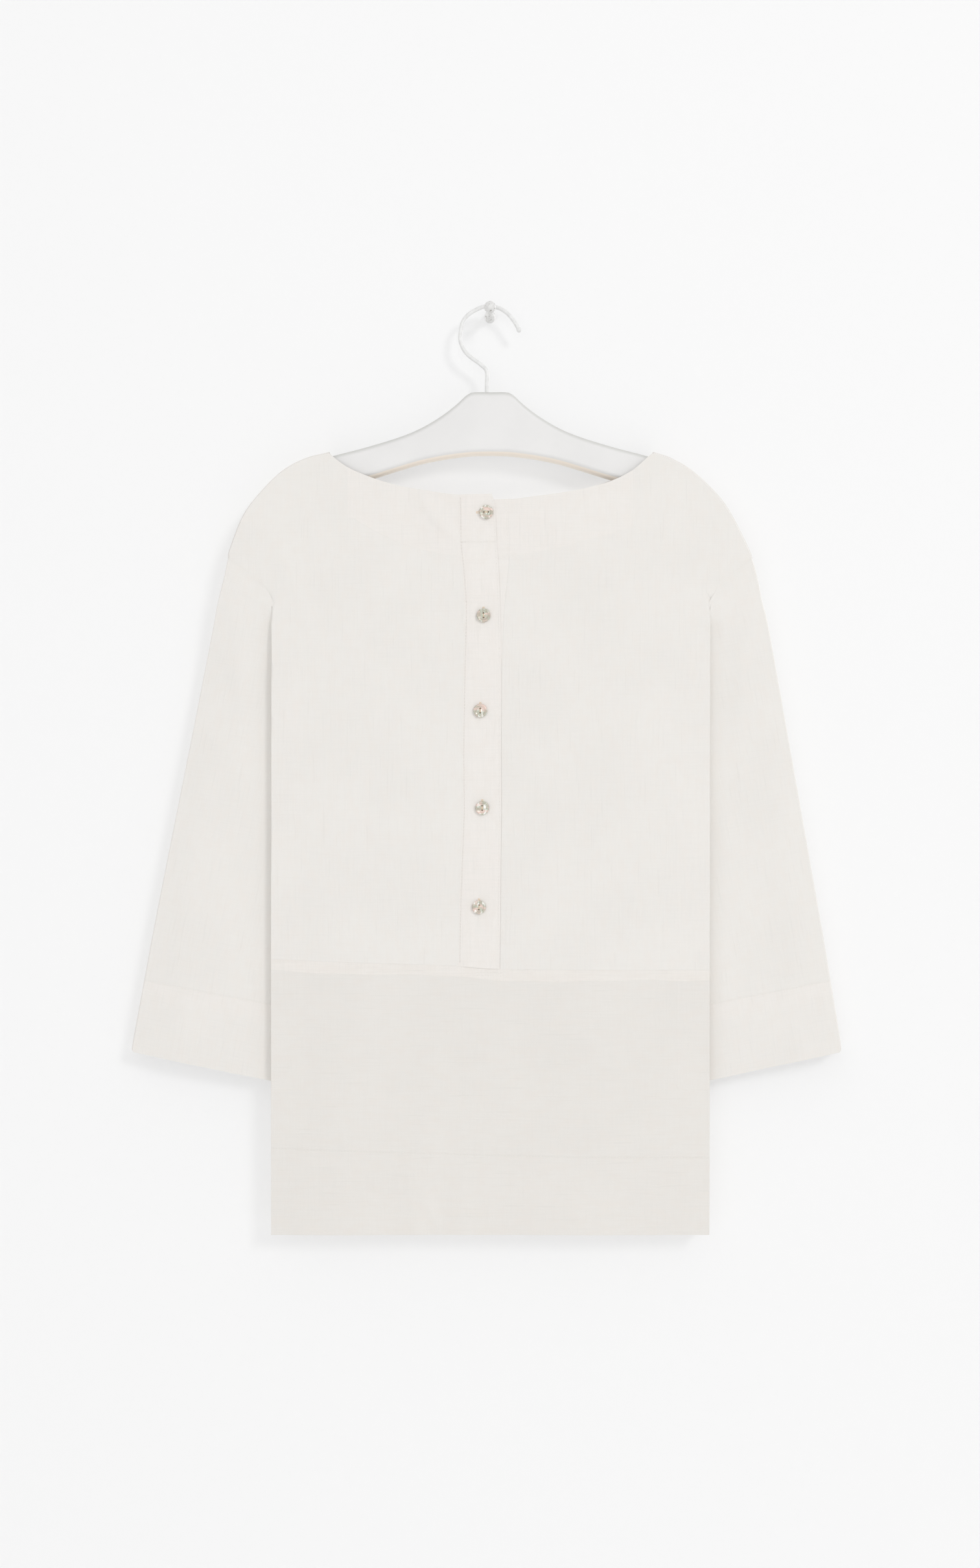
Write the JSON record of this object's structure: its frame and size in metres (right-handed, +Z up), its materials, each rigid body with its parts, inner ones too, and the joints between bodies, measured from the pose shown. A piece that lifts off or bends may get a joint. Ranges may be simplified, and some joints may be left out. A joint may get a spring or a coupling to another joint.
{
  "type": "blouse on a hanger",
  "caption": "Loose thin linen blouse with a boat neck, half button band, waist seam and wide three-quarter sleeves, hung flat on a shaped hanger from a wall peg.",
  "frame": {"origin": "centre of the wall peg's flat back face, on the wall plane", "axes": "+Z up, +X to the viewer's right, -Y out of the wall towards the viewer"},
  "size_m": [0.6546, 0.0374, 0.8656],
  "materials": {
    "linen": "thin off-white linen, slubs along the length",
    "cross_linen": "the same linen on the cross grain",
    "double_linen": "doubled linen",
    "shell": "mother-of-pearl, glossy and slightly iridescent",
    "satin": "white satin paint",
    "wire": "white coated wire",
    "painted_wood": "worn white paint"
  },
  "bodies": {
    "root": {"front_left": "linen", "front_right": "linen", "back": "linen", "sleeve_left": "linen", "sleeve_right": "linen", "front_band": "cross_linen", "back_band": "cross_linen", "placket_over": "double_linen", "placket_under": "double_linen", "neck_facing_left": "double_linen", "neck_facing_right": "double_linen", "button_1": "shell", "button_2": "shell", "button_3": "shell", "button_4": "shell", "button_5": "shell", "hanger_body": "satin", "hanger_hook": "wire", "hanger_hook_tip": "wire", "wall_peg": "painted_wood"}
  },
  "joints": []
}
